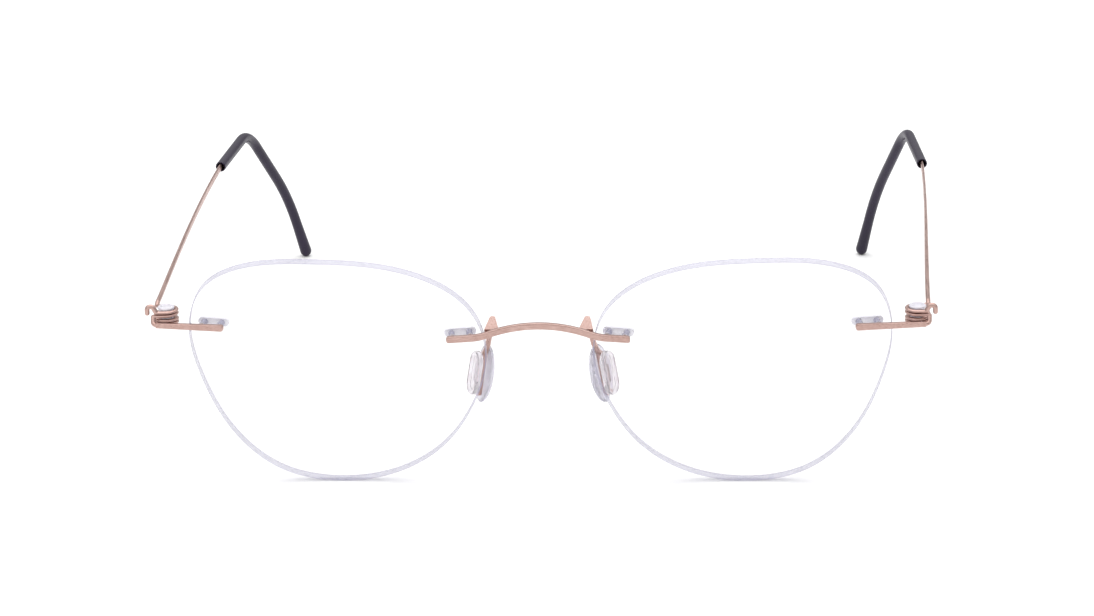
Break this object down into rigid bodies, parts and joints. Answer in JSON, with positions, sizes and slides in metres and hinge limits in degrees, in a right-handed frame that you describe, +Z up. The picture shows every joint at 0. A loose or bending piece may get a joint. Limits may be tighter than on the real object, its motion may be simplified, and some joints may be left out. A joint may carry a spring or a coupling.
{
  "type": "rimless eyeglasses",
  "caption": "Rimless eyeglasses: bare clear lenses drilled to a slim arched bridge and side lugs, with coiled wire hinges, thin wire temples and soft ear sleeves.",
  "frame": {"origin": "centre of the bottom of the bounding box, midway between the temples; the glasses stand open on the lens bottoms and the ear tips", "axes": "+X to the viewer's right, +Y from the lenses back along the temples, +Z up; symmetric about X = 0"},
  "size_m": [0.1332, 0.1236, 0.0412],
  "materials": {
    "satin_metal": "satin brushed rose-brown titanium",
    "clear_lens": "polished clear",
    "clear_plastic": "clear",
    "clear_silicone": "clear soft",
    "black_silicone": "satin black"
  },
  "bodies": {
    "front": {"bridge": "satin_metal", "lens_right": "clear_lens", "mount_plug_nasal_right": "clear_plastic", "mount_plug_temporal_right": "clear_plastic", "lens_pins_nasal_right": "satin_metal", "lens_pins_temporal_right": "satin_metal", "pad_arm_right": "satin_metal", "nose_pad_right": "clear_silicone", "pad_retainer_right": "clear_silicone", "lug_right": "satin_metal", "hinge_bobbin_right": "clear_plastic", "lens_left": "clear_lens", "mount_plug_nasal_left": "clear_plastic", "mount_plug_temporal_left": "clear_plastic", "lens_pins_nasal_left": "satin_metal", "lens_pins_temporal_left": "satin_metal", "pad_arm_left": "satin_metal", "nose_pad_left": "clear_silicone", "pad_retainer_left": "clear_silicone", "lug_left": "satin_metal", "hinge_bobbin_left": "clear_plastic"},
    "temple_right": {"temple_wire_right": "satin_metal", "ear_sleeve_right": "black_silicone"},
    "temple_left": {"temple_wire_left": "satin_metal", "ear_sleeve_left": "black_silicone"}
  },
  "joints": [
    {"name": "temple_right_fold", "type": "hinge", "parent": "front", "child": "temple_right", "pos_m": [0.0632, -0.0557, 0.0309], "axis": [0, 0, 1], "range_deg": [0, 85]},
    {"name": "temple_left_fold", "type": "hinge", "parent": "front", "child": "temple_left", "pos_m": [-0.0632, -0.0557, 0.0309], "axis": [0, 0, -1], "range_deg": [0, 68]}
  ]
}
